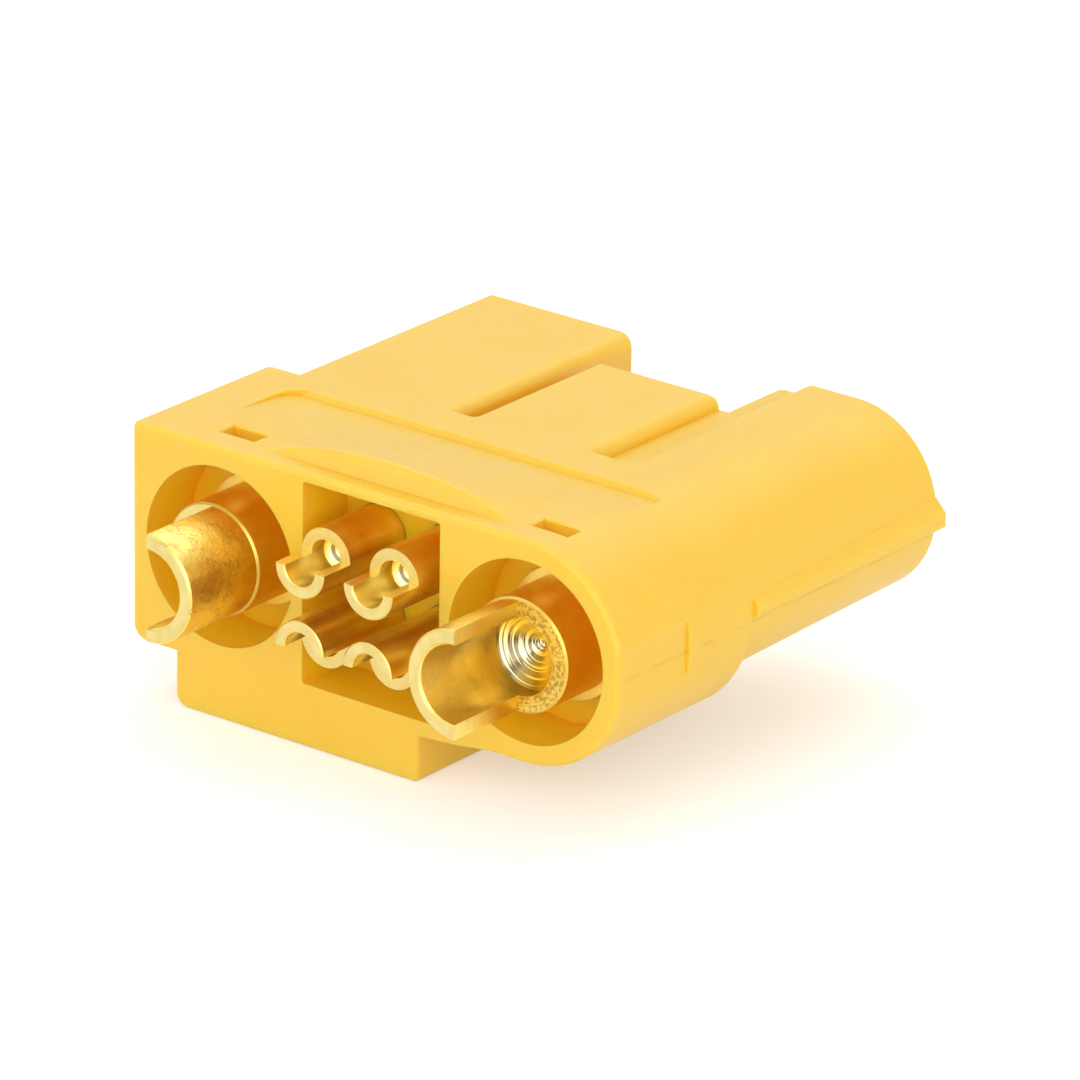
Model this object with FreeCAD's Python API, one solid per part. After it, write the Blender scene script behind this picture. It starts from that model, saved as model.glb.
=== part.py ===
import FreeCAD, Part
import math
import os
from FreeCAD import Vector

# Battery lead connector, female half: a moulded nylon housing with two turned
# power sockets and four turned signal sockets. All sizes in millimetres.
# Working frame: X to the right and Y towards the mating end, both as seen from
# the solder side, Z up. x = 0 is midway between the power contacts, y = 0 is
# the front face on the solder side and z = 0 is the underside of the flange.
# The last lines move everything to the centre of the box the part stands on.

# Flange, the deep body on the solder side
BODY_HEIGHT = 10.9
FLANGE_DEPTH = 9.7
POWER_PITCH = 18.0
FLANGE_LEFT = 14.3
FLANGE_CORNER = 0.8
FLANGE_TOP_CORNER = 0.3
EDGE_ROUND = 0.25
BACK_ROUND = 0.6
RELIEF_FLAT = 0.18
RELIEF_DEPTH = 5.1

# Round recesses for the solder cups and the seats behind them
RECESS_RADIUS = 4.43
RECESS_DEPTH = 3.3
POWER_SEAT_CLEARANCE = 0.03
MOUTH_LEAD = 0.35

# Square cavity for the signal contacts
CAVITY_WIDTH = 8.06
CAVITY_HEIGHT = 10.0
CAVITY_DEPTH = 3.25
CAVITY_CORNER = 0.2
SIGNAL_PITCH = 4.0
SIGNAL_SEAT_CLEARANCE = 0.03

# Keying block under the flange
BLOCK_LEFT = 11.7
BLOCK_RIGHT = 2.8
BLOCK_DROP = 2.7
BLOCK_CORNER = 0.7

# Bulges of the flange: a shallow one below, a crown with a steep front above
BULGE_DROP = 0.5
BULGE_HALF = 7.0
CROWN_RISE = 1.0
CROWN_HALF = 7.4
CROWN_START = 1.05
CROWN_FRONT_RUN = 0.4

# Sunk field behind the crown, its floor falling towards its back wall
FIELD_SINK = 0.25
FIELD_START = 4.4
FIELD_BACK = 8.15
FIELD_WALL_RUN = 0.2
FIELD_LEFT = 11.5
FIELD_RIGHT = 10.4
FIELD_CORNER = 1.2

# Latch slots through the top into the recesses
SLOT_WIDTH = 2.1
SLOT_LENGTH = 1.05
SLOT_START = 1.6
SLOT_OFFSET = 0.3
SLOT_BEVEL = 0.08

# Mating nose: two tubes with a shorter block between them
NOSE_END = 24.48
NOSE_FLOOR = 1.55
LEFT_TUBE_LEFT = 12.45
LEFT_TUBE_RIGHT = 3.67
LEFT_TUBE_ROUND = 0.7
LEFT_TUBE_LOW_ROUND = 2.4
TUBE_END_BEVEL = 0.2
RIGHT_TUBE_X = 9.7
RIGHT_TUBE_LEFT = 5.08
RIGHT_SHELF = 0.7
RIGHT_SHELF_END = 5.9
RIGHT_RAMP_END = 7.15
MIDDLE_END = 20.33
MIDDLE_LEFT = 2.35
MIDDLE_RIGHT = 4.5
MIDDLE_ROUND = 0.7
GROOVE_START = 10.6
GROOVE_DEPTH = 2.0
GROOVE_ROUND = 0.4

# Rib along the right tube
RIB_START = 10.0
RIB_Z = 5.42
RIB_FIRST_RISE = 0.2
RIB_RISE = 0.55
RIB_FIRST_HEIGHT = 1.05
RIB_HEIGHT = 1.7

# Power contacts
CUP_FRONT = 5.2
CUP_RIM = 0.5
CUP_RADIUS = 2.77
CUP_STEP = 0.1
CUP_BORE = 1.93
CUP_BEVEL = 0.12
CUP_BORE_DEPTH = 0.89
CUP_CONE_DEPTH = 1.11
COLLAR_RADIUS = 3.2
COLLAR_THICKNESS = 0.3
POWER_BORE = 2.25
POWER_BORE_DEPTH = 10.5
POWER_RECESSED = 1.0
POWER_LEAD = 0.25

# Signal contacts
PIN_FRONT = 2.7
PIN_RIM = 0.76
PIN_RADIUS = 1.43
PIN_BORE = 0.87
PIN_BORE_DEPTH = 0.9
PIN_CONE_DEPTH = 0.5
PIN_BEVEL = 0.07
PIN_SHOULDER = 2.0
PIN_TAIL_RADIUS = 1.15
SIGNAL_BORE = 0.75
SIGNAL_BORE_DEPTH = 6.0
SIGNAL_RECESSED = 0.6
SIGNAL_LEAD = 0.15

# Values that follow from the sizes above
AXIS_Z = BODY_HEIGHT / 2
POWER_X = POWER_PITCH / 2
ROUND_X = POWER_X
ROUND_RADIUS = BODY_HEIGHT / 2
TOP = BODY_HEIGHT
RIGHT_TUBE_RADIUS = (TOP - NOSE_FLOOR) / 2
RIGHT_TUBE_Z = NOSE_FLOOR + RIGHT_TUBE_RADIUS
RIGHT_TUBE_EDGE = RIGHT_TUBE_X + RIGHT_TUBE_RADIUS
POWER_END = NOSE_END - POWER_RECESSED
SIGNAL_END = MIDDLE_END - SIGNAL_RECESSED
REACH = 1.0


def at(x, y, z):
    return Vector(x, y, z)


def rod(x, z, radius, start, end):
    """A round bar along Y between two depths."""
    return Part.makeCylinder(radius, end - start, at(x, start, z), at(0, 1, 0))


def cone(x, z, first, last, start, end):
    """A tapered bar along Y, its radius going from first to last."""
    return Part.makeCone(first, last, end - start, at(x, start, z), at(0, 1, 0))


def block(left, right, start, end, low, high):
    """A box given by its six limits."""
    return Part.makeBox(right - left, end - start, high - low, at(left, start, low))


def outline(points, y=0.0):
    """A closed wire in XZ. A point is (x, z), or (x, z, mx, mz) when an arc
    through (mx, mz) leads to it from the point before."""
    edges = []
    last = points[-1]
    for point in points:
        start = at(last[0], y, last[1])
        end = at(point[0], y, point[1])
        if len(point) == 4:
            middle = at(point[2], y, point[3])
            edges.append(Part.Arc(start, middle, end).toShape())
        else:
            edges.append(Part.makeLine(start, end))
        last = point
    return Part.Wire(edges)


def extrude(points, start, end):
    """A prism along Y over an XZ outline."""
    face = Part.Face(outline(points, start))
    return face.extrude(at(0, end - start, 0))


def round_of(x, z, radius, turn):
    """Middle point of a quarter round centred at x, z, towards turn degrees."""
    angle = math.radians(turn)
    return (x + radius * math.cos(angle), z + radius * math.sin(angle))


def long_edges(shape, x, z, reach=0.02):
    """Straight edges of a shape that run along Y through x, z."""
    found = []
    for edge in shape.Edges:
        first = edge.Vertexes[0].Point
        last = edge.Vertexes[-1].Point
        same = abs(first.x - x) < reach and abs(first.z - z) < reach
        same = same and abs(last.x - x) < reach and abs(last.z - z) < reach
        if same and abs(first.y - last.y) > reach:
            found.append(edge)
    return found


def edges_at(shape, y):
    """Edges that lie in the plane at depth y."""
    found = []
    for edge in shape.Edges:
        box = edge.BoundBox
        if abs(box.YMin - y) < 0.01 and abs(box.YMax - y) < 0.01:
            found.append(edge)
    return found


def flange_body():
    """Flat on the left, fully round on the right."""
    left = -FLANGE_LEFT
    low = FLANGE_CORNER
    top = FLANGE_TOP_CORNER
    low_mid = round_of(left + low, low, low, 225)
    top_mid = round_of(left + top, TOP - top, top, 135)
    edge = (ROUND_X + ROUND_RADIUS, AXIS_Z)
    points = [
        (left, TOP - top),
        (left + top, TOP) + top_mid,
        (ROUND_X, TOP),
        (ROUND_X, 0) + edge,
        (left + low, 0),
        (left, low) + low_mid,
    ]
    return extrude(points, 0, FLANGE_DEPTH)


def back_corner():
    """What comes off the upright back edge on the flat side to round it."""
    r = BACK_ROUND
    x = r - FLANGE_LEFT
    y = FLANGE_DEPTH - r
    tall = TOP + 2 * REACH
    corner = block(-FLANGE_LEFT - REACH, x, y, FLANGE_DEPTH + REACH, -REACH, tall - REACH)
    return corner.cut(Part.makeCylinder(r, tall, at(x, y, -REACH), at(0, 0, 1)))


def keying_block():
    """Flat block below the flange, the face the part stands on."""
    left = -BLOCK_LEFT
    low = -BLOCK_DROP
    r = BLOCK_CORNER
    small = EDGE_ROUND
    points = [
        (left, AXIS_Z / 4),
        (BLOCK_RIGHT, AXIS_Z / 4),
        (BLOCK_RIGHT, low + small),
        (BLOCK_RIGHT - small, low) + round_of(BLOCK_RIGHT - small, low + small, small, 315),
        (left + r, low),
        (left, low + r) + round_of(left + r, low + r, r, 225),
    ]
    return extrude(points, 0, FLANGE_DEPTH)


def bulge():
    """Shallow arc that hangs below the flange about the middle."""
    inside = AXIS_Z / 4
    points = [
        (-BULGE_HALF, inside),
        (BULGE_HALF, inside),
        (BULGE_HALF, 0),
        (-BULGE_HALF, 0, 0, -BULGE_DROP),
    ]
    return extrude(points, 0, FLANGE_DEPTH)


def crown_wire(y, height, foot):
    """Section of the crown: an arc of the given height over its foot."""
    inside = TOP - 0.6
    points = [
        (-CROWN_HALF, inside),
        (-CROWN_HALF, foot),
        (CROWN_HALF, foot, 0, foot + height),
        (CROWN_HALF, inside),
    ]
    return outline(points, y)


def crown():
    """Arched crown: a steep front, a soft crest and a top that falls back."""
    run = CROWN_FRONT_RUN
    crest = CROWN_START + run
    flat = 0.02
    end = FIELD_BACK
    front = [
        crown_wire(CROWN_START, flat, TOP),
        crown_wire(CROWN_START + 0.7 * run, 0.82 * CROWN_RISE, TOP),
        crown_wire(crest, 0.97 * CROWN_RISE, TOP),
        crown_wire(crest + 0.5 * run, CROWN_RISE, TOP),
        crown_wire(end, flat, TOP - FIELD_SINK - flat),
    ]
    return Part.makeLoft(front, True, True)


def field():
    """Wedge taken off the top: nothing at its start, deepest at its back wall."""
    left = -FIELD_LEFT
    right = FIELD_RIGHT
    high = TOP + REACH
    floor = TOP - FIELD_SINK
    back = FIELD_BACK + FIELD_WALL_RUN
    side = [
        at(left, FIELD_START, high),
        at(left, FIELD_START, TOP),
        at(left, FIELD_BACK, floor),
        at(left, back, TOP),
        at(left, back, high),
    ]
    face = Part.Face(Part.makePolygon(side + [side[0]]))
    sunk = face.extrude(at(right - left, 0, 0))
    plan = block(left, right, FIELD_START - REACH, back, floor - REACH, high)
    corner = []
    for edge in plan.Edges:
        ends = [vertex.Point for vertex in edge.Vertexes]
        near = [abs(end.x - left) < 0.01 and abs(end.y - back) < 0.01 for end in ends]
        if all(near):
            corner.append(edge)
    return sunk.common(plan.makeFillet(FIELD_CORNER, corner))


def left_tube():
    """Square-shouldered tube round the left power contact."""
    left = -LEFT_TUBE_LEFT
    right = -LEFT_TUBE_RIGHT
    top = TOP
    r = LEFT_TUBE_ROUND
    low = LEFT_TUBE_LOW_ROUND
    small = FLANGE_TOP_CORNER
    floor = NOSE_FLOOR
    points = [
        (left, top - small),
        (left + small, top) + round_of(left + small, top - small, small, 135),
        (right - r, top),
        (right, top - r) + round_of(right - r, top - r, r, 45),
        (right, floor + r),
        (right - r, floor) + round_of(right - r, floor + r, r, 315),
        (left + low, floor),
        (left, floor + low) + round_of(left + low, floor + low, low, 225),
    ]
    return extrude(points, FLANGE_DEPTH, NOSE_END)


def right_tube_wire(y, x, z, radius, rise, height, inset=0.0):
    """Section of the right tube: a round right side about x, z with the rib on
    it and a straight left wall, all of it drawn in by inset."""
    left = RIGHT_TUBE_LEFT + inset
    floor = NOSE_FLOOR + inset
    r = LEFT_TUBE_ROUND
    reach = radius - inset
    edge = x + reach
    foot = RIB_Z
    high = foot + height
    foot_turn = math.degrees(math.asin((foot - z) / reach))
    high_turn = math.degrees(math.asin((high - z) / reach))
    foot_x = round_of(x, z, reach, foot_turn)[0]
    high_x = round_of(x, z, reach, high_turn)[0]
    root = math.sqrt(0.5)
    low = (RIGHT_TUBE_X + (edge - RIGHT_TUBE_X) * root, z - (z - floor) * root)
    points = [
        (left, TOP - inset),
        (x, TOP - inset),
        (high_x, high) + round_of(x, z, reach, (90 + high_turn) / 2),
        (edge + rise, foot + 0.6 * height),
        (edge + rise, foot + 0.2 * height),
        (edge + 0.4 * rise, foot + 0.06 * height),
        (foot_x, foot),
        (RIGHT_TUBE_X, floor) + low,
        (left + r, floor),
        (left, floor + r) + round_of(left + r, floor + r, r, 225),
    ]
    return outline(points, y)


def right_root():
    """Short start of the right tube, flush with the flange's round end."""
    left = RIGHT_TUBE_LEFT
    floor = NOSE_FLOOR
    root = math.sqrt(0.5)
    middle = RIGHT_TUBE_X
    edge = ROUND_X + ROUND_RADIUS
    low = (middle + (edge - middle) * root, AXIS_Z - (AXIS_Z - floor) * root)
    points = [
        (left, TOP),
        (ROUND_X, TOP),
        (edge, AXIS_Z) + round_of(ROUND_X, AXIS_Z, ROUND_RADIUS, 45),
        (middle, floor) + low,
        (left, floor),
    ]
    return extrude(points, FLANGE_DEPTH, RIB_START)


def right_tube():
    """Narrows from the flange's round end to a circle of its own, while the
    rib along it grows. One more section halfway keeps its surfaces short."""
    bevel = TUBE_END_BEVEL
    first = (RIB_START, ROUND_X, AXIS_Z, ROUND_RADIUS, RIB_FIRST_RISE, RIB_FIRST_HEIGHT)
    circle = (RIGHT_TUBE_X, RIGHT_TUBE_Z, RIGHT_TUBE_RADIUS, RIB_RISE, RIB_HEIGHT)
    last = (NOSE_END - bevel,) + circle
    halfway = [(start + end) / 2 for start, end in zip(first, last)]
    wires = [
        right_tube_wire(*first),
        right_tube_wire(*halfway),
        right_tube_wire(*last),
        right_tube_wire(NOSE_END, *circle, bevel),
    ]
    return Part.makeLoft(wires, True, True)


def middle_block():
    """Web from tube to tube, up to the signal contacts' end face."""
    left = -LEFT_TUBE_RIGHT - REACH
    web = block(left, RIGHT_SHELF_END, FLANGE_DEPTH, MIDDLE_END, NOSE_FLOOR, TOP)
    across = [edge for edge in edges_at(web, MIDDLE_END) if abs(edge.tangentAt(0).x) > 0.9]
    return web.makeChamfer(TUBE_END_BEVEL, across)


def rounded_start(groove, low):
    """Round the start of a groove along its floor and up its straight walls."""
    found = []
    for edge in groove.Edges:
        ends = [vertex.Point for vertex in edge.Vertexes]
        across = [abs(end.y - GROOVE_START) < 0.01 and abs(end.z - low) < 0.01 for end in ends]
        upright = abs(ends[0].y - GROOVE_START) < 0.01 and abs(ends[0].x - ends[-1].x) < 0.01
        upright = upright and min(ends[0].z, ends[-1].z) < low + 0.01
        upright = upright and abs(ends[0].z - ends[-1].z) > GROOVE_ROUND
        if all(across) and edge.Length > 0.1 or upright:
            found.append(edge)
    return groove.makeFillet(GROOVE_ROUND, found)


def groove_one():
    """Deep groove between the left tube and the middle block."""
    left = -LEFT_TUBE_RIGHT
    right = -MIDDLE_LEFT
    low = TOP - GROOVE_DEPTH
    r = LEFT_TUBE_ROUND
    points = [
        (left - r, TOP + REACH),
        (left - r, TOP),
        (left, TOP - r) + round_of(left - r, TOP - r, r, 45),
        (left, low),
        (right, low),
        (right, TOP + REACH),
    ]
    return rounded_start(extrude(points, GROOVE_START, NOSE_END + REACH), low)


def groove_two():
    """Shallow groove between the middle block and the right tube, its floor
    rising to the tube's top in an S of two equal bends."""
    left = MIDDLE_RIGHT
    low = TOP - RIGHT_SHELF
    inner = RIGHT_SHELF_END
    outer = RIGHT_RAMP_END
    run = (outer - inner) / 2
    rise = RIGHT_SHELF / 2
    bend = (run * run + rise * rise) / (2 * rise)
    turn = math.atan2(run, bend - rise) / 2
    across = bend * math.sin(turn)
    up = bend * (1 - math.cos(turn))
    r = MIDDLE_ROUND
    part = 1 - math.sqrt(0.5)
    shoulder = (left - r * part, TOP - RIGHT_SHELF * part)
    points = [
        (left - r, TOP + REACH),
        (left - r, TOP),
        (left, low) + shoulder,
        (inner, low),
        (inner + run, low + rise, inner + across, low + up),
        (outer, TOP, outer - across, TOP - up),
        (outer, TOP + REACH),
    ]
    return rounded_start(extrude(points, GROOVE_START, NOSE_END + REACH), low)


def cavity():
    """Square hole round the signal contacts, with rounded long edges."""
    half = CAVITY_WIDTH / 2
    low = AXIS_Z - CAVITY_HEIGHT / 2
    high = AXIS_Z + CAVITY_HEIGHT / 2
    hole = block(-half, half, -REACH, CAVITY_DEPTH, low, high)
    corners = []
    for x in (-half, half):
        for z in (low, high):
            corners += long_edges(hole, x, z)
    return hole.makeFillet(CAVITY_CORNER, corners)


def power_seat(side):
    """Recess, seat and mouth for one power contact."""
    x = side * POWER_X
    seat = CUP_RADIUS + POWER_SEAT_CLEARANCE
    recess = rod(x, AXIS_Z, RECESS_RADIUS, -REACH, RECESS_DEPTH)
    bore = rod(x, AXIS_Z, seat, RECESS_DEPTH - REACH, NOSE_END + REACH)
    lead = cone(x, AXIS_Z, seat, seat + MOUTH_LEAD, NOSE_END - MOUTH_LEAD, NOSE_END)
    return [recess, bore, lead]


def signal_seat(x, z):
    """Stepped bore for one signal contact, its shoulder behind the cavity."""
    seat = PIN_RADIUS + SIGNAL_SEAT_CLEARANCE
    tail = PIN_TAIL_RADIUS + SIGNAL_SEAT_CLEARANCE
    shoulder = CAVITY_DEPTH + PIN_SHOULDER
    pocket = rod(x, z, seat, CAVITY_DEPTH - REACH, shoulder)
    bore = rod(x, z, tail, CAVITY_DEPTH, MIDDLE_END + REACH)
    return [pocket, bore]


def latch_slot(side):
    """Small bevelled opening from the top into a recess, set outwards on the
    left."""
    middle = POWER_X if side > 0 else -POWER_X - SLOT_OFFSET
    half = SLOT_WIDTH / 2
    left = middle - half
    right = middle + half
    end = SLOT_START + SLOT_LENGTH
    hole = block(left, right, SLOT_START, end, AXIS_Z + CUP_RADIUS + 0.5, TOP + REACH)
    wires = []
    for wide in (0, 2 * SLOT_BEVEL):
        z = TOP - SLOT_BEVEL + wide
        corners = [
            at(left - wide, SLOT_START - wide, z),
            at(right + wide, SLOT_START - wide, z),
            at(right + wide, end + wide, z),
            at(left - wide, end + wide, z),
        ]
        wires.append(Part.makePolygon(corners + [corners[0]]))
    return hole.fuse(Part.makeLoft(wires, True, True))


def side_relief():
    """Flat taken off the round side near the front face."""
    face = ROUND_X + ROUND_RADIUS - RELIEF_FLAT
    return block(face, face + REACH, -REACH, RELIEF_DEPTH, 0, TOP)


def signal_places():
    """Level, side and axis of each signal contact, on a square."""
    half = SIGNAL_PITCH / 2
    places = []
    for level, z in (("upper", AXIS_Z + half), ("lower", AXIS_Z - half)):
        for side, x in (("left", -half), ("right", half)):
            places.append((level, side, x, z))
    return places


def make_housing():
    body = flange_body()
    for piece in (keying_block(), bulge()):
        body = body.fuse(piece)
    body = body.cut(side_relief()).removeSplitter()
    body = body.makeFillet(EDGE_ROUND, edges_at(body, 0))
    body = body.cut(back_corner())
    left = left_tube()
    left = left.makeChamfer(TUBE_END_BEVEL, edges_at(left, NOSE_END))
    for piece in (left, right_root(), right_tube(), middle_block()):
        body = body.fuse(piece)
    body = body.cut(field())
    body = body.fuse(crown())
    body = body.removeSplitter()
    cuts = [groove_one(), groove_two(), cavity()]
    for side in (-1, 1):
        cuts += power_seat(side)
        cuts.append(latch_slot(side))
    for level, side, x, z in signal_places():
        cuts += signal_seat(x, z)
    for cut in cuts:
        body = body.cut(cut)
    return body


def half_cutter(x, z, radius, front, rim, turn):
    """Box that takes the open half off a cup, on the side given by turn."""
    wide = radius + REACH
    box = Part.makeBox(wide, rim - front + REACH, 2 * wide, at(0, front - REACH, -wide))
    box.rotate(at(0, 0, 0), at(0, 1, 0), turn)
    box.translate(at(x, 0, z))
    return box


def turned(x, z, radius, start, end, bevel):
    """Round bar with a bevel on its front edge."""
    bar = rod(x, z, radius, start + bevel, end)
    return bar.fuse(cone(x, z, radius - bevel, radius, start, start + bevel))


def make_power_contact(side):
    """Turned along its axis, then milled half away in front of the rim."""
    x = side * POWER_X
    z = AXIS_Z
    rim = -CUP_RIM
    bevel = CUP_BEVEL
    cup = turned(x, z, CUP_RADIUS - CUP_STEP, -CUP_FRONT, rim + bevel, bevel)
    cup = cup.fuse(turned(x, z, CUP_RADIUS, rim, POWER_END, bevel))
    collar_start = RECESS_DEPTH - COLLAR_THICKNESS
    cup = cup.fuse(rod(x, z, COLLAR_RADIUS, collar_start, RECESS_DEPTH))
    floor = rim + CUP_BORE_DEPTH
    cup = cup.cut(rod(x, z, CUP_BORE, -CUP_FRONT - REACH, floor))
    cup = cup.cut(cone(x, z, CUP_BORE, 0, floor, floor + CUP_CONE_DEPTH))
    wide = CUP_BORE + bevel
    cup = cup.cut(cone(x, z, wide, CUP_BORE, -CUP_FRONT, -CUP_FRONT + bevel))
    turn = 0 if side > 0 else 180
    cup = cup.cut(half_cutter(x, z, CUP_RADIUS, -CUP_FRONT, rim, turn))
    bottom = POWER_END - POWER_BORE_DEPTH
    cup = cup.cut(rod(x, z, POWER_BORE, bottom, POWER_END + REACH))
    lead = POWER_BORE + POWER_LEAD
    cup = cup.cut(cone(x, z, POWER_BORE, lead, POWER_END - POWER_LEAD, POWER_END))
    return cup


def make_signal_contact(x, z, level):
    """Turned like the power contacts, with a shoulder and a thinner tail."""
    rim = -PIN_RIM
    shoulder = CAVITY_DEPTH + PIN_SHOULDER
    floor = rim + PIN_BORE_DEPTH
    pin = turned(x, z, PIN_RADIUS, -PIN_FRONT, shoulder, PIN_BEVEL)
    pin = pin.fuse(rod(x, z, PIN_TAIL_RADIUS, shoulder, SIGNAL_END))
    pin = pin.cut(rod(x, z, PIN_BORE, -PIN_FRONT - REACH, floor))
    pin = pin.cut(cone(x, z, PIN_BORE, 0, floor, floor + PIN_CONE_DEPTH))
    bevel = PIN_BORE + PIN_BEVEL
    pin = pin.cut(cone(x, z, bevel, PIN_BORE, -PIN_FRONT, -PIN_FRONT + PIN_BEVEL))
    turn = -90 if level == "upper" else 90
    pin = pin.cut(half_cutter(x, z, PIN_RADIUS, -PIN_FRONT, rim, turn))
    bottom = SIGNAL_END - SIGNAL_BORE_DEPTH
    pin = pin.cut(rod(x, z, SIGNAL_BORE, bottom, SIGNAL_END + REACH))
    lead = SIGNAL_BORE + SIGNAL_LEAD
    pin = pin.cut(cone(x, z, SIGNAL_BORE, lead, SIGNAL_END - SIGNAL_LEAD, SIGNAL_END))
    return pin


nodes = {"housing": make_housing()}
nodes["power_contact_left"] = make_power_contact(-1)
nodes["power_contact_right"] = make_power_contact(1)
for level, side, x, z in signal_places():
    nodes["signal_contact_" + level + "_" + side] = make_signal_contact(x, z, level)

# Part frame: middle of the part's box in X and Y, with the block on the floor
box_right = RIGHT_TUBE_EDGE + RIB_RISE
box_left = -FLANGE_LEFT
middle_x = (box_right + box_left) / 2
middle_y = (NOSE_END - CUP_FRONT) / 2
shift = at(-middle_x, -middle_y, BLOCK_DROP)

os.makedirs("parts", exist_ok=True)
for name, shape in nodes.items():
    shape.translate(shift)
    print(name, shape.isValid(), len(shape.Solids), round(shape.Volume, 3), shape.BoundBox)
    shape.exportStep("parts/" + name + ".step")
print("shift", shift)
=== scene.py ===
import math

import bpy
from mathutils import Matrix, Vector

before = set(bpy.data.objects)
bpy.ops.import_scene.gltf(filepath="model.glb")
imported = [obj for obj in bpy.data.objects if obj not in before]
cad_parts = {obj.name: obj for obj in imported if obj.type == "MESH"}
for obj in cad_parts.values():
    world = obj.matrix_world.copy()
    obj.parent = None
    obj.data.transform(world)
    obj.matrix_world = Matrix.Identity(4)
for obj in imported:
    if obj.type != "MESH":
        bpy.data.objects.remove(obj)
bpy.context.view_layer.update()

MM = 0.001

# Where the part stands in its own frame, in mm: the contacts' axes
POWER_X = {"power_contact_left": -9.3125, "power_contact_right": 8.6875}
POWER_Z = 8.15
SIGNAL_X = {"left": -2.3125, "right": 1.6875}
SIGNAL_Z = {"upper": 10.15, "lower": 6.15}

# Depths of the contacts' sawn ends, rims and drilled cones
POWER_DEPTHS = {"end": -14.84, "rim": -10.14, "cone": -9.25, "tip": -8.14}
SIGNAL_DEPTHS = {"end": -12.34, "rim": -10.40, "cone": -9.50, "tip": -9.00}

# Radii that just take in their solder bores
POWER_BORE = 1.95
SIGNAL_BORE = 0.89

# Half thickness of the layer that counts as lying on a flat face
FACE = 0.02
END_FACE = 0.03

# Bevel behind the rim, measured from the rim
BEVEL_START = 0.03
BEVEL_END = 0.14

# The hollows on the solder side: a square cavity between two round recesses
FRONT_Y = -9.64
HOLLOW_END = -6.20
CAVITY_X = -0.3125
CAVITY_HALF_WIDTH = 4.13
CAVITY_HALF_HEIGHT = 5.10
RECESS_RADIUS = 4.53

# The mould's parting line on the right side: height, wander, half width, place
PARTING_Z = 8.02
PARTING_WANDER = 0.2
PARTING_CORE = 0.03
PARTING_EDGE = 0.14
RIGHT_SIDE_START = 13.6
RIGHT_SIDE_FULL = 13.8

# Colours of the nylon
NYLON_FULL = (0.915, 0.570, 0.041, 1)
NYLON_PALE = (0.930, 0.600, 0.053, 1)
# painted light: orange bounce light on the walls of the hollows, deeper painted shade on their back walls
HOLLOW_WALL_BOUNCE_LIGHT = (1.0, 0.685, 0.017, 1)
HOLLOW_BACK_SHADE = (1.0, 0.590, 0.012, 1)
PARTING_TINT = (0.72, 0.36, 0.02, 1)

# Colours of the gold plate
GOLD_FULL = (0.880, 0.595, 0.090, 1)
GOLD_PALE = (0.905, 0.720, 0.215, 1)
GOLD_BURNT = (0.420, 0.220, 0.040, 1)
# painted shade for the bevel behind the rim
GOLD_BEVEL_SHADE = (0.560, 0.330, 0.060, 1)
SAWN_FULL = (0.700, 0.550, 0.190, 1)
SAWN_PALE = (0.780, 0.630, 0.250, 1)
# darker specks on the rim
RIM_DARK_SPECKS = (0.340, 0.200, 0.045, 1)
# painted highlight and painted shade on the drilled cone
CONE_HIGHLIGHT = (0.930, 0.860, 0.600, 1)
CONE_SHADE = (0.090, 0.055, 0.012, 1)
NICK_DARK = (0.300, 0.170, 0.035, 1)

# How each kind of contact looks: wear of the cup, which also sets the painted
# shade on its bevel, share of darker specks on the rim, and how far the cone's
# painted dark arcs reach to its edge
LEFT_CUP_LOOK = {"wear_and_bevel_shade": 0.8, "mottle": 0.15, "painted_arc_reach": 0.95}
RIGHT_CUP_LOOK = {"wear_and_bevel_shade": 0.25, "mottle": 0.75, "painted_arc_reach": 0.95}
SIGNAL_LOOK = {"wear_and_bevel_shade": 0.04, "mottle": 0.12, "painted_arc_reach": 0.15}

# Scratches: angles over the barrel, and how fine they are along and across
STROKE_TURNS = (0.6, 2.3, 1.2)
STROKE_ALONG = 1500.0
STROKE_ACROSS = 11000.0
BARREL_RADIUS = 2.7

# Studio: sizes and levels
FLOOR_SIZE = 6
FLOOR_DROP = 0.02
FLOOR_GREY = (0.86, 0.86, 0.86, 1)
FLOOR_LIFT = 0.36
WORLD_AS_LIGHT = 0.55
WORLD_AS_SEEN = 1.0
WHITE = (1, 1, 1, 1)

# Soft boxes: place, size, power
LAMPS = {
    "top_box": ((-0.12, 0.22, 0.50), 0.75, 1.42),
    "front_left_box": ((-0.30, -0.55, 0.16), 0.60, 1.12),
    "front_right_box": ((0.28, -0.58, 0.16), 0.60, 1.12),
    "side_box": ((0.62, 0.00, 0.07), 0.55, 1.00),
    "eye_box": ((0.40, -0.42, 0.24), 0.42, 0.62),
}
LAMP_AIM = Vector((0, 0, 7)) * MM

# Camera: turned round the upright, tipped down, rolled a little
VIEW_TURN = math.radians(37.69)
VIEW_TIP = math.radians(21.571)
VIEW_ROLL = math.radians(0.975)
VIEW_LENS = 280.39
VIEW_SENSOR = 36
VIEW_DISTANCE = 392.989 * MM
VIEW_AIM = Vector((-0.3125, 2.36, 8.15)) * MM
VIEW_SIDE = 0.3626 * MM
VIEW_RISE = -0.4403 * MM


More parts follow.
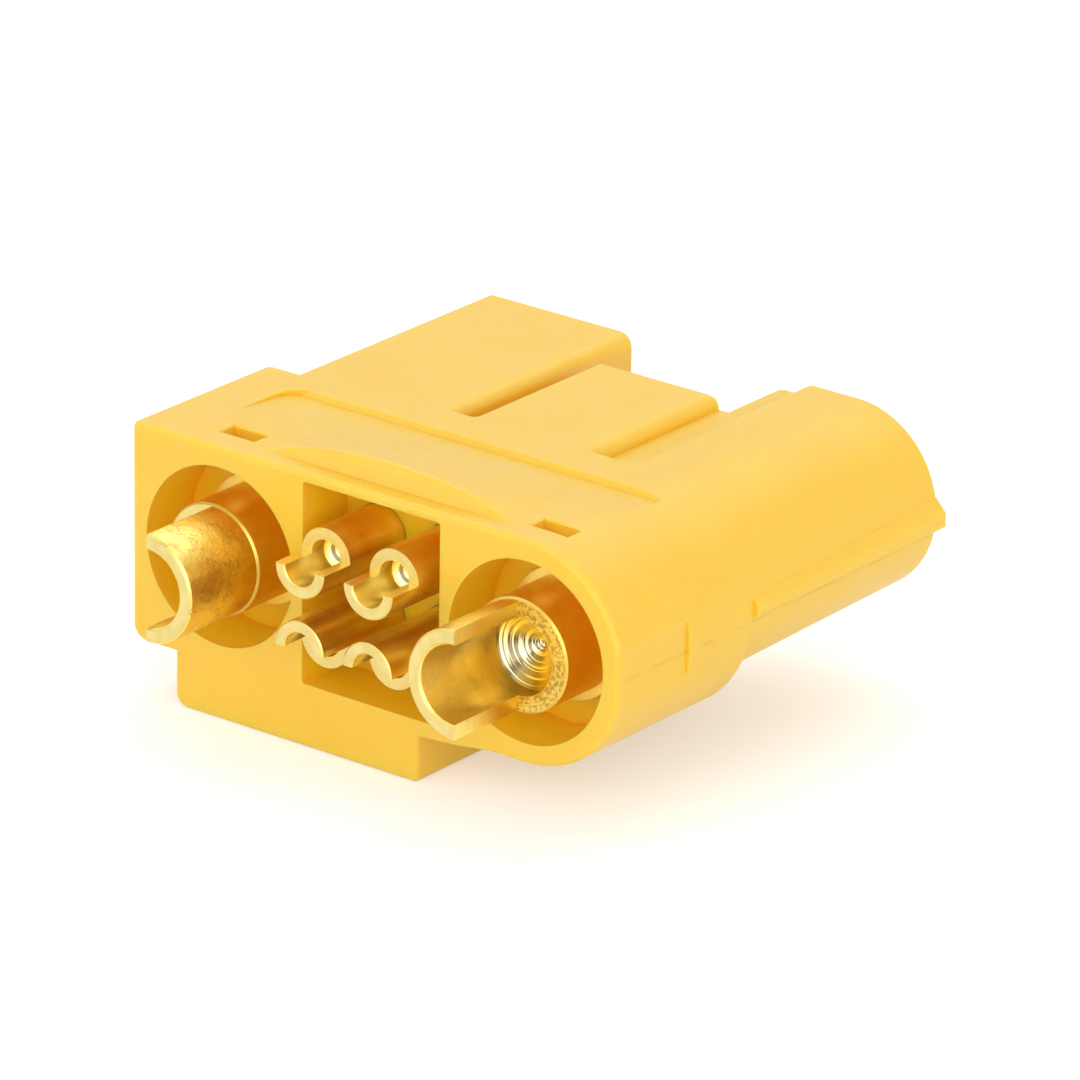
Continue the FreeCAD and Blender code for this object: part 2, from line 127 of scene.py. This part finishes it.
def place_camera():
    look = Vector((
        -math.sin(VIEW_TURN) * math.cos(VIEW_TIP),
        math.cos(VIEW_TURN) * math.cos(VIEW_TIP),
        -math.sin(VIEW_TIP),
    ))
    right = Vector((math.cos(VIEW_TURN), math.sin(VIEW_TURN), 0))
    up = right.cross(look)
    side = right * math.cos(VIEW_ROLL) + up * math.sin(VIEW_ROLL)
    rise = up * math.cos(VIEW_ROLL) - right * math.sin(VIEW_ROLL)
    eye = VIEW_AIM + side * VIEW_SIDE + rise * VIEW_RISE - look * VIEW_DISTANCE
    data = bpy.data.cameras.new("camera")
    data.lens = VIEW_LENS
    data.sensor_width = VIEW_SENSOR
    data.clip_start = 0.01
    data.clip_end = 20
    camera = bpy.data.objects.new("camera", data)
    bpy.context.scene.collection.objects.link(camera)
    turn = Matrix((side, rise, -look)).transposed().to_4x4()
    camera.matrix_world = Matrix.Translation(eye) @ turn
    bpy.context.scene.camera = camera


class Nodes:
    """Short way to add and join shader nodes in an emptied tree."""

    def __init__(self, tree):
        self.tree = tree
        self.tree.nodes.clear()

    def add(self, kind, **inputs):
        node = self.tree.nodes.new(kind)
        for key, value in inputs.items():
            node.inputs[key.replace("_", " ")].default_value = value
        return node

    def join(self, source, target):
        self.tree.links.new(source, target)

    def fill(self, sockets, values):
        """Sets each socket to its number or colour, or joins it to its source."""
        for socket, value in zip(sockets, values):
            if isinstance(value, (int, float, tuple)):
                socket.default_value = value
            else:
                self.join(value, socket)

    def math(self, operation, *values):
        node = self.add("ShaderNodeMath")
        node.operation = operation
        self.fill(node.inputs, values)
        return node.outputs[0]

    def plus(self, first, second):
        return self.math("ADD", first, second)

    def minus(self, first, second):
        return self.math("SUBTRACT", first, second)

    def times(self, first, second):
        return self.math("MULTIPLY", first, second)

    def most(self, first, second):
        return self.math("MAXIMUM", first, second)

    def above(self, value, low):
        return self.math("GREATER_THAN", value, low)

    def below(self, value, high):
        return self.math("LESS_THAN", value, high)

    def between(self, value, low, high):
        """1 where the value lies between two numbers, 0 elsewhere."""
        return self.times(self.above(value, low), self.below(value, high))

    def length(self, first, second):
        """Length of the hypotenuse over two sides."""
        squares = self.plus(self.times(first, first), self.times(second, second))
        return self.math("SQRT", squares)

    def apart(self, vector):
        node = self.add("ShaderNodeSeparateXYZ")
        self.join(vector, node.inputs[0])
        return node.outputs

    def vector(self, x, y, z):
        node = self.add("ShaderNodeCombineXYZ")
        self.fill(node.inputs, (x, y, z))
        return node.outputs[0]

    def noise(self, place, scale, detail=4.0, roughness=0.5):
        node = self.add("ShaderNodeTexNoise", Scale=scale, Detail=detail, Roughness=roughness)
        self.join(place, node.inputs["Vector"])
        return node.outputs["Fac"]

    def ramp(self, value, low, high, low_out, high_out):
        node = self.add("ShaderNodeMapRange", From_Min=low, From_Max=high, To_Min=low_out, To_Max=high_out)
        self.join(value, node.inputs["Value"])
        return node.outputs["Result"]

    def mix(self, amount, first, second):
        """Colour that goes from the first to the second with the amount."""
        node = self.add("ShaderNodeMix")
        node.data_type = "RGBA"
        self.fill((node.inputs[0], node.inputs[6], node.inputs[7]), (amount, first, second))
        return node.outputs[2]

    def bump(self, height, strength, distance, under=None):
        node = self.add("ShaderNodeBump", Strength=strength, Distance=distance)
        self.join(height, node.inputs["Height"])
        if under is not None:
            self.join(under, node.inputs["Normal"])
        return node.outputs["Normal"]

    def seen_directly(self):
        """1 for what the eye sees straight, in gloss or through a thing."""
        path = self.add("ShaderNodeLightPath").outputs
        seen = self.most(path["Is Camera Ray"], path["Is Glossy Ray"])
        return self.most(seen, path["Is Transmission Ray"])

    def finish(self, shader, kind="ShaderNodeOutputMaterial"):
        output = self.add(kind)
        self.join(shader, output.inputs["Surface"])


def new_material(name):
    material = bpy.data.materials.new(name)
    material.use_nodes = True
    return material, Nodes(material.node_tree)


def hollow_painted_light_mask(nodes, place):
    """Mask for the painted bounce light and shade in the hollows: how deep a point lies in the
    cavity or a recess, 0 at the mouth, 1 from 0.8 mm in, and 0 everywhere on the outside."""
    x, y, z = nodes.apart(place)
    up = nodes.minus(z, POWER_Z * MM)
    across = nodes.math("ABSOLUTE", nodes.minus(x, CAVITY_X * MM))
    wide = nodes.below(across, CAVITY_HALF_WIDTH * MM)
    high = nodes.below(nodes.math("ABSOLUTE", up), CAVITY_HALF_HEIGHT * MM)
    inside = nodes.times(wide, high)
    for axis in POWER_X.values():
        reach = nodes.length(nodes.minus(x, axis * MM), up)
        inside = nodes.most(inside, nodes.below(reach, RECESS_RADIUS * MM))
    deep = nodes.ramp(y, (FRONT_Y + 0.1) * MM, (FRONT_Y + 0.8) * MM, 0, 1)
    inside = nodes.times(inside, nodes.below(y, HOLLOW_END * MM))
    return nodes.times(inside, deep)


def parting_line(nodes, place):
    """1 on the wandering, broken line that the mould left on the right side."""
    x, _, z = nodes.apart(place)
    wander = nodes.noise(place, 260, 3.0)
    low = (-PARTING_Z - PARTING_WANDER) * MM
    high = (PARTING_WANDER - PARTING_Z) * MM
    off = nodes.plus(z, nodes.ramp(wander, 0, 1, low, high))
    near = nodes.ramp(nodes.math("ABSOLUTE", off), PARTING_CORE * MM, PARTING_EDGE * MM, 1, 0)
    right = nodes.ramp(x, RIGHT_SIDE_START * MM, RIGHT_SIDE_FULL * MM, 0, 1)
    broken = nodes.ramp(nodes.noise(place, 900, 2.0), 0.38, 0.6, 0.1, 1)
    return nodes.times(nodes.times(near, right), broken)


def moulded_nylon():
    """Warm yellow nylon that lets some light through: cloudy colour, painted
    orange bounce light in the hollows with painted shade towards their back
    walls, satin skin with a faint moulded grain, and the mould's parting line
    down the right side."""
    material, nodes = new_material("moulded_nylon")
    place = nodes.add("ShaderNodeTexCoord").outputs["Object"]
    cloud = nodes.ramp(nodes.noise(place, 220, 3.0), 0.3, 0.7, 0, 1)
    colour = nodes.mix(cloud, NYLON_FULL, NYLON_PALE)
    depth = nodes.apart(place)["Y"]
    # painted light: the hollows get a brighter, deeper orange for bounce light, turning to painted shade
    # towards their back walls
    back_wall_shade = nodes.ramp(depth, (HOLLOW_END - 1.0) * MM, (HOLLOW_END - 0.3) * MM, 0, 1)
    hollow_painted_light = nodes.mix(back_wall_shade, HOLLOW_WALL_BOUNCE_LIGHT, HOLLOW_BACK_SHADE)
    colour = nodes.mix(hollow_painted_light_mask(nodes, place), colour, hollow_painted_light)
    colour = nodes.mix(nodes.times(parting_line(nodes, place), 0.35), colour, PARTING_TINT)

    flow = nodes.noise(place, 700, 4.0)
    grain = nodes.noise(place, 9000, 2.0)
    soft = nodes.bump(flow, 0.08, 0.03 * MM)
    skin = nodes.bump(grain, 0.10, 0.008 * MM, soft)

    shader = nodes.add("ShaderNodeBsdfPrincipled", IOR=1.53, Subsurface_Weight=0.6)
    shader.inputs["Subsurface Radius"].default_value = (1.0, 0.42, 0.05)
    shader.inputs["Subsurface Scale"].default_value = 1.5 * MM
    nodes.join(colour, shader.inputs["Base Color"])
    nodes.join(nodes.ramp(flow, 0.3, 0.7, 0.34, 0.44), shader.inputs["Roughness"])
    nodes.join(skin, shader.inputs["Normal"])
    nodes.finish(shader.outputs["BSDF"])
    return material


class Turned:
    """Places on a turned contact: the depth along its axis, the radius and the
    way round, and where its faces lie."""

    def __init__(self, nodes, axis, depths, bore):
        self.nodes = nodes
        self.place = nodes.add("ShaderNodeTexCoord").outputs["Object"]
        x, self.depth, z = nodes.apart(self.place)
        x = nodes.minus(x, axis[0] * MM)
        z = nodes.minus(z, axis[1] * MM)
        self.radius = nodes.most(nodes.length(x, z), 0.01 * MM)
        self.around_x = nodes.math("DIVIDE", x, self.radius)
        self.around_z = nodes.math("DIVIDE", z, self.radius)
        self.arc = nodes.times(nodes.math("ARCTAN2", z, x), BARREL_RADIUS * MM)
        self.bore = bore

        end = depths["end"]
        rim = depths["rim"]
        flat = self.layer(rim - FACE, rim + FACE)
        self.rim = nodes.times(flat, nodes.above(self.radius, (bore + 0.01) * MM))
        self.ends = nodes.most(self.layer(end - END_FACE, end + END_FACE), self.rim)
        self.cup = self.layer(end + END_FACE, rim - FACE)
        self.bevel = self.layer(rim + BEVEL_START, rim + BEVEL_END)
        drilled = self.layer(depths["cone"] - FACE, depths["tip"] + FACE)
        self.cone = nodes.times(drilled, nodes.below(self.radius, bore * MM))

    def layer(self, low, high):
        """1 between two depths in mm."""
        return self.nodes.between(self.depth, low * MM, high * MM)

    def rings(self, turn, measure, fineness):
        """Noise in rings: fine along the measure, slow on the way round."""
        nodes = self.nodes
        x = nodes.times(self.around_x, turn)
        fine = nodes.times(measure, fineness)
        z = nodes.times(self.around_z, turn)
        return nodes.noise(nodes.vector(x, fine, z), 1.0, 1.0)

    def strokes(self, turn):
        """Short straight scratches that run at one angle over the barrel."""
        nodes = self.nodes
        cosine = math.cos(turn)
        sine = math.sin(turn)
        run = nodes.plus(nodes.times(self.arc, cosine), nodes.times(self.depth, sine))
        side = nodes.minus(nodes.times(self.depth, cosine), nodes.times(self.arc, sine))
        along = nodes.times(run, STROKE_ALONG)
        across = nodes.times(side, STROKE_ACROSS)
        spread = nodes.vector(along, across, turn * 9)
        return nodes.ramp(nodes.noise(spread, 1.0, 1.0), 0.60, 0.68, 0, 1)

    def nicks(self, wear_and_bevel_shade):
        """Scratches at several angles, in spots on the cup."""
        nodes = self.nodes
        first, second, third = STROKE_TURNS
        scratch = nodes.most(self.strokes(first), self.strokes(second))
        scratch = nodes.most(scratch, self.strokes(third))
        spots = nodes.ramp(nodes.noise(self.place, 500, 3.0), 0.42, 0.58, 0, 1)
        return nodes.times(nodes.times(scratch, spots), nodes.times(self.cup, wear_and_bevel_shade))

    def cone_painted_light(self, arcs, painted_arc_reach):
        """Shares of painted highlight and of painted shade on the drilled cone: a bright outer ring and a
        bright wedge on the lower left, dark arcs along the tool rings, most on the lower left, and a dark
        ring.
        """
        nodes = self.nodes
        bore = self.bore * MM
        left = nodes.plus(nodes.times(self.around_x, -0.85), nodes.times(self.around_z, -0.5))
        sector = nodes.noise(nodes.vector(self.around_x, self.around_z, 3.7), 1.3, 1.0)
        shade_by_side = nodes.ramp(left, 0.0, 0.6, 0.15, 0.75)
        shade_by_sector = nodes.ramp(sector, 0.42, 0.58, 0, 0.25)
        cone_shade = nodes.times(nodes.ramp(arcs, 0.42, 0.48, 0, 1), nodes.plus(shade_by_side, shade_by_sector))
        shade_ring = nodes.between(self.radius, 0.46 * bore, 0.64 * bore)
        cone_shade = nodes.most(nodes.times(cone_shade, painted_arc_reach), nodes.times(shade_ring, 0.9 - painted_arc_reach))
        highlight_ring = nodes.ramp(self.radius, 0.80 * bore, 0.90 * bore, 1.0 - painted_arc_reach, 0)
        highlight_wedge = nodes.ramp(left, 0.35, 0.85, 0, 0.95 * painted_arc_reach)
        cone_highlight = nodes.most(highlight_ring, highlight_wedge)
        return nodes.times(self.cone, cone_highlight), nodes.times(self.cone, cone_shade)


def turned_gold(name, axis, depths, bore, wear_and_bevel_shade, mottle, painted_arc_reach):
    """Gold plate over turned brass: tool rings round the axis, paler sawn ends,
    painted highlight and painted shade in arcs and rings on the drilled floor,
    and scratches and patches of deeper colour, more of them with more wear,
    which also sets the painted shade on the bevel behind the rim. The rim is
    mottled by the share mottle. A floor with little arc reach is painted pale
    as a highlight, with a painted dark ring."""
    material, nodes = new_material(name)
    metal = Turned(nodes, axis, depths, bore)
    place = metal.place
    arcs = metal.rings(0.55, metal.radius, 11000.0)
    bands = metal.rings(0.8, metal.depth, 7000.0)
    nicks = metal.nicks(wear_and_bevel_shade)
    grain = nodes.noise(place, 1300, 3.0, 0.6)
    # painted highlight and painted shade for the drilled cone
    cone_highlight, cone_shade = metal.cone_painted_light(arcs, painted_arc_reach)

    # Plate: cloudy, paler towards the sawn end, burnt in patches on the cup
    # and painted shade on the bevel behind the rim, more of it with more wear
    end = depths["end"]
    near_end = nodes.ramp(metal.depth, (end + 1) * MM, (end + 4) * MM, 0.08, -0.06)
    cloud = nodes.plus(nodes.noise(place, 420, 4.0, 0.62), near_end)
    colour = nodes.mix(nodes.ramp(cloud, 0.38, 0.60, 0, 1), GOLD_FULL, GOLD_PALE)
    burnt = nodes.ramp(nodes.noise(place, 650, 4.0, 0.65), 0.52, 0.66, 0, 0.7 * wear_and_bevel_shade)
    colour = nodes.mix(nodes.times(burnt, metal.cup), colour, GOLD_BURNT)
    # painted shade darkens the bevel behind the rim, scaled with the wear
    colour = nodes.mix(nodes.times(metal.bevel, wear_and_bevel_shade), colour, GOLD_BEVEL_SHADE)

    # Sawn ends and the mottled rim
    sawn = nodes.mix(nodes.ramp(grain, 0.35, 0.65, 0, 1), SAWN_FULL, SAWN_PALE)
    plain = nodes.minus(metal.ends, nodes.times(metal.rim, mottle))
    colour = nodes.mix(plain, colour, sawn)
    # darker specks on the rim, partly along the tool rings
    speck = nodes.plus(nodes.noise(place, 5200, 2.0, 0.7), nodes.times(arcs, 0.5))
    rim_specks = nodes.times(metal.rim, nodes.ramp(speck, 0.66, 0.86, 0, mottle))
    colour = nodes.mix(rim_specks, colour, RIM_DARK_SPECKS)

    # Painted highlight and painted shade on the drilled cone, then the scratches
    colour = nodes.mix(cone_highlight, colour, CONE_HIGHLIGHT)
    colour = nodes.mix(cone_shade, colour, CONE_SHADE)
    colour = nodes.mix(nodes.times(nicks, 0.5), colour, NICK_DARK)

    # Relief: tool rings on the flats, bands, dents on the cup, scratches
    cut = nodes.times(arcs, nodes.most(metal.cone, metal.rim))
    turned = nodes.bump(cut, 0.5, 0.015 * MM)
    banded = nodes.bump(bands, 0.16, 0.010 * MM, turned)
    depth = nodes.ramp(metal.cup, 0, 1, 0.03, 0.04 + 1.9 * wear_and_bevel_shade)
    dents = nodes.times(nodes.noise(place, 2600, 2.5, 0.7), depth)
    dented = nodes.bump(dents, 1.0, 0.020 * MM, banded)
    nicked = nodes.bump(nodes.minus(1.0, nicks), 0.9, 0.005 * MM, dented)

    shader = nodes.add("ShaderNodeBsdfPrincipled", Metallic=1.0)
    dull = nodes.times(metal.ends, 0.11)
    gloss = nodes.plus(nodes.ramp(grain, 0.3, 0.7, 0.285, 0.36), dull)
    nodes.join(colour, shader.inputs["Base Color"])
    nodes.join(gloss, shader.inputs["Roughness"])
    nodes.join(nicked, shader.inputs["Normal"])
    nodes.finish(shader.outputs["BSDF"])
    return material


def paint(node, material):
    thing = bpy.data.objects[node]
    if not thing.material_slots:
        thing.data.materials.append(material)
    for slot in thing.material_slots:
        slot.material = material


def studio_floor():
    """White table: lit and shadowed like paper, lifted to white for the eye."""
    bpy.ops.object.select_all(action="DESELECT")
    bpy.ops.mesh.primitive_grid_add(
        x_subdivisions=4,
        y_subdivisions=4,
        size=FLOOR_SIZE,
        location=(0, 0, -FLOOR_DROP * MM),
    )
    floor = bpy.context.object
    floor.name = "floor"
    material, nodes = new_material("floor_white")
    paper = nodes.add("ShaderNodeBsdfDiffuse", Color=FLOOR_GREY)
    glow = nodes.add("ShaderNodeEmission", Color=WHITE)
    nodes.join(nodes.times(nodes.seen_directly(), FLOOR_LIFT), glow.inputs["Strength"])
    both = nodes.add("ShaderNodeAddShader")
    nodes.fill(both.inputs, (paper.outputs[0], glow.outputs[0]))
    nodes.finish(both.outputs[0])
    floor.data.materials.append(material)


def studio_world():
    """White all round for the eye and for gloss, a softer level as light."""
    world = bpy.data.worlds.new("studio")
    bpy.context.scene.world = world
    world.use_nodes = True
    nodes = Nodes(world.node_tree)
    light = nodes.add("ShaderNodeBackground", Color=WHITE, Strength=WORLD_AS_LIGHT)
    white = nodes.add("ShaderNodeBackground", Color=WHITE, Strength=WORLD_AS_SEEN)
    pick = nodes.add("ShaderNodeMixShader")
    nodes.fill(pick.inputs, (nodes.seen_directly(), light.outputs[0], white.outputs[0]))
    nodes.finish(pick.outputs[0], "ShaderNodeOutputWorld")


def lamp(name, place, size, power):
    """Square soft box that looks at the part."""
    data = bpy.data.lights.new(name, "AREA")
    data.shape = "SQUARE"
    data.size = size
    data.energy = power
    light = bpy.data.objects.new(name, data)
    bpy.context.scene.collection.objects.link(light)
    spot = Vector(place)
    light.rotation_euler = (LAMP_AIM - spot).to_track_quat("-Z", "Y").to_euler()
    light.location = spot


bpy.context.scene.view_settings.view_transform = "Standard"
place_camera()

paint("housing", moulded_nylon())
for node, x in POWER_X.items():
    look = LEFT_CUP_LOOK if node.endswith("left") else RIGHT_CUP_LOOK
    gold = turned_gold(node + "_gold", (x, POWER_Z), POWER_DEPTHS, POWER_BORE, **look)
    paint(node, gold)
for level, z in SIGNAL_Z.items():
    for side, x in SIGNAL_X.items():
        node = "signal_contact_" + level + "_" + side
        gold = turned_gold(node + "_gold", (x, z), SIGNAL_DEPTHS, SIGNAL_BORE, **SIGNAL_LOOK)
        paint(node, gold)

studio_floor()
studio_world()
for name, (place, size, power) in LAMPS.items():
    lamp(name, place, size, power)
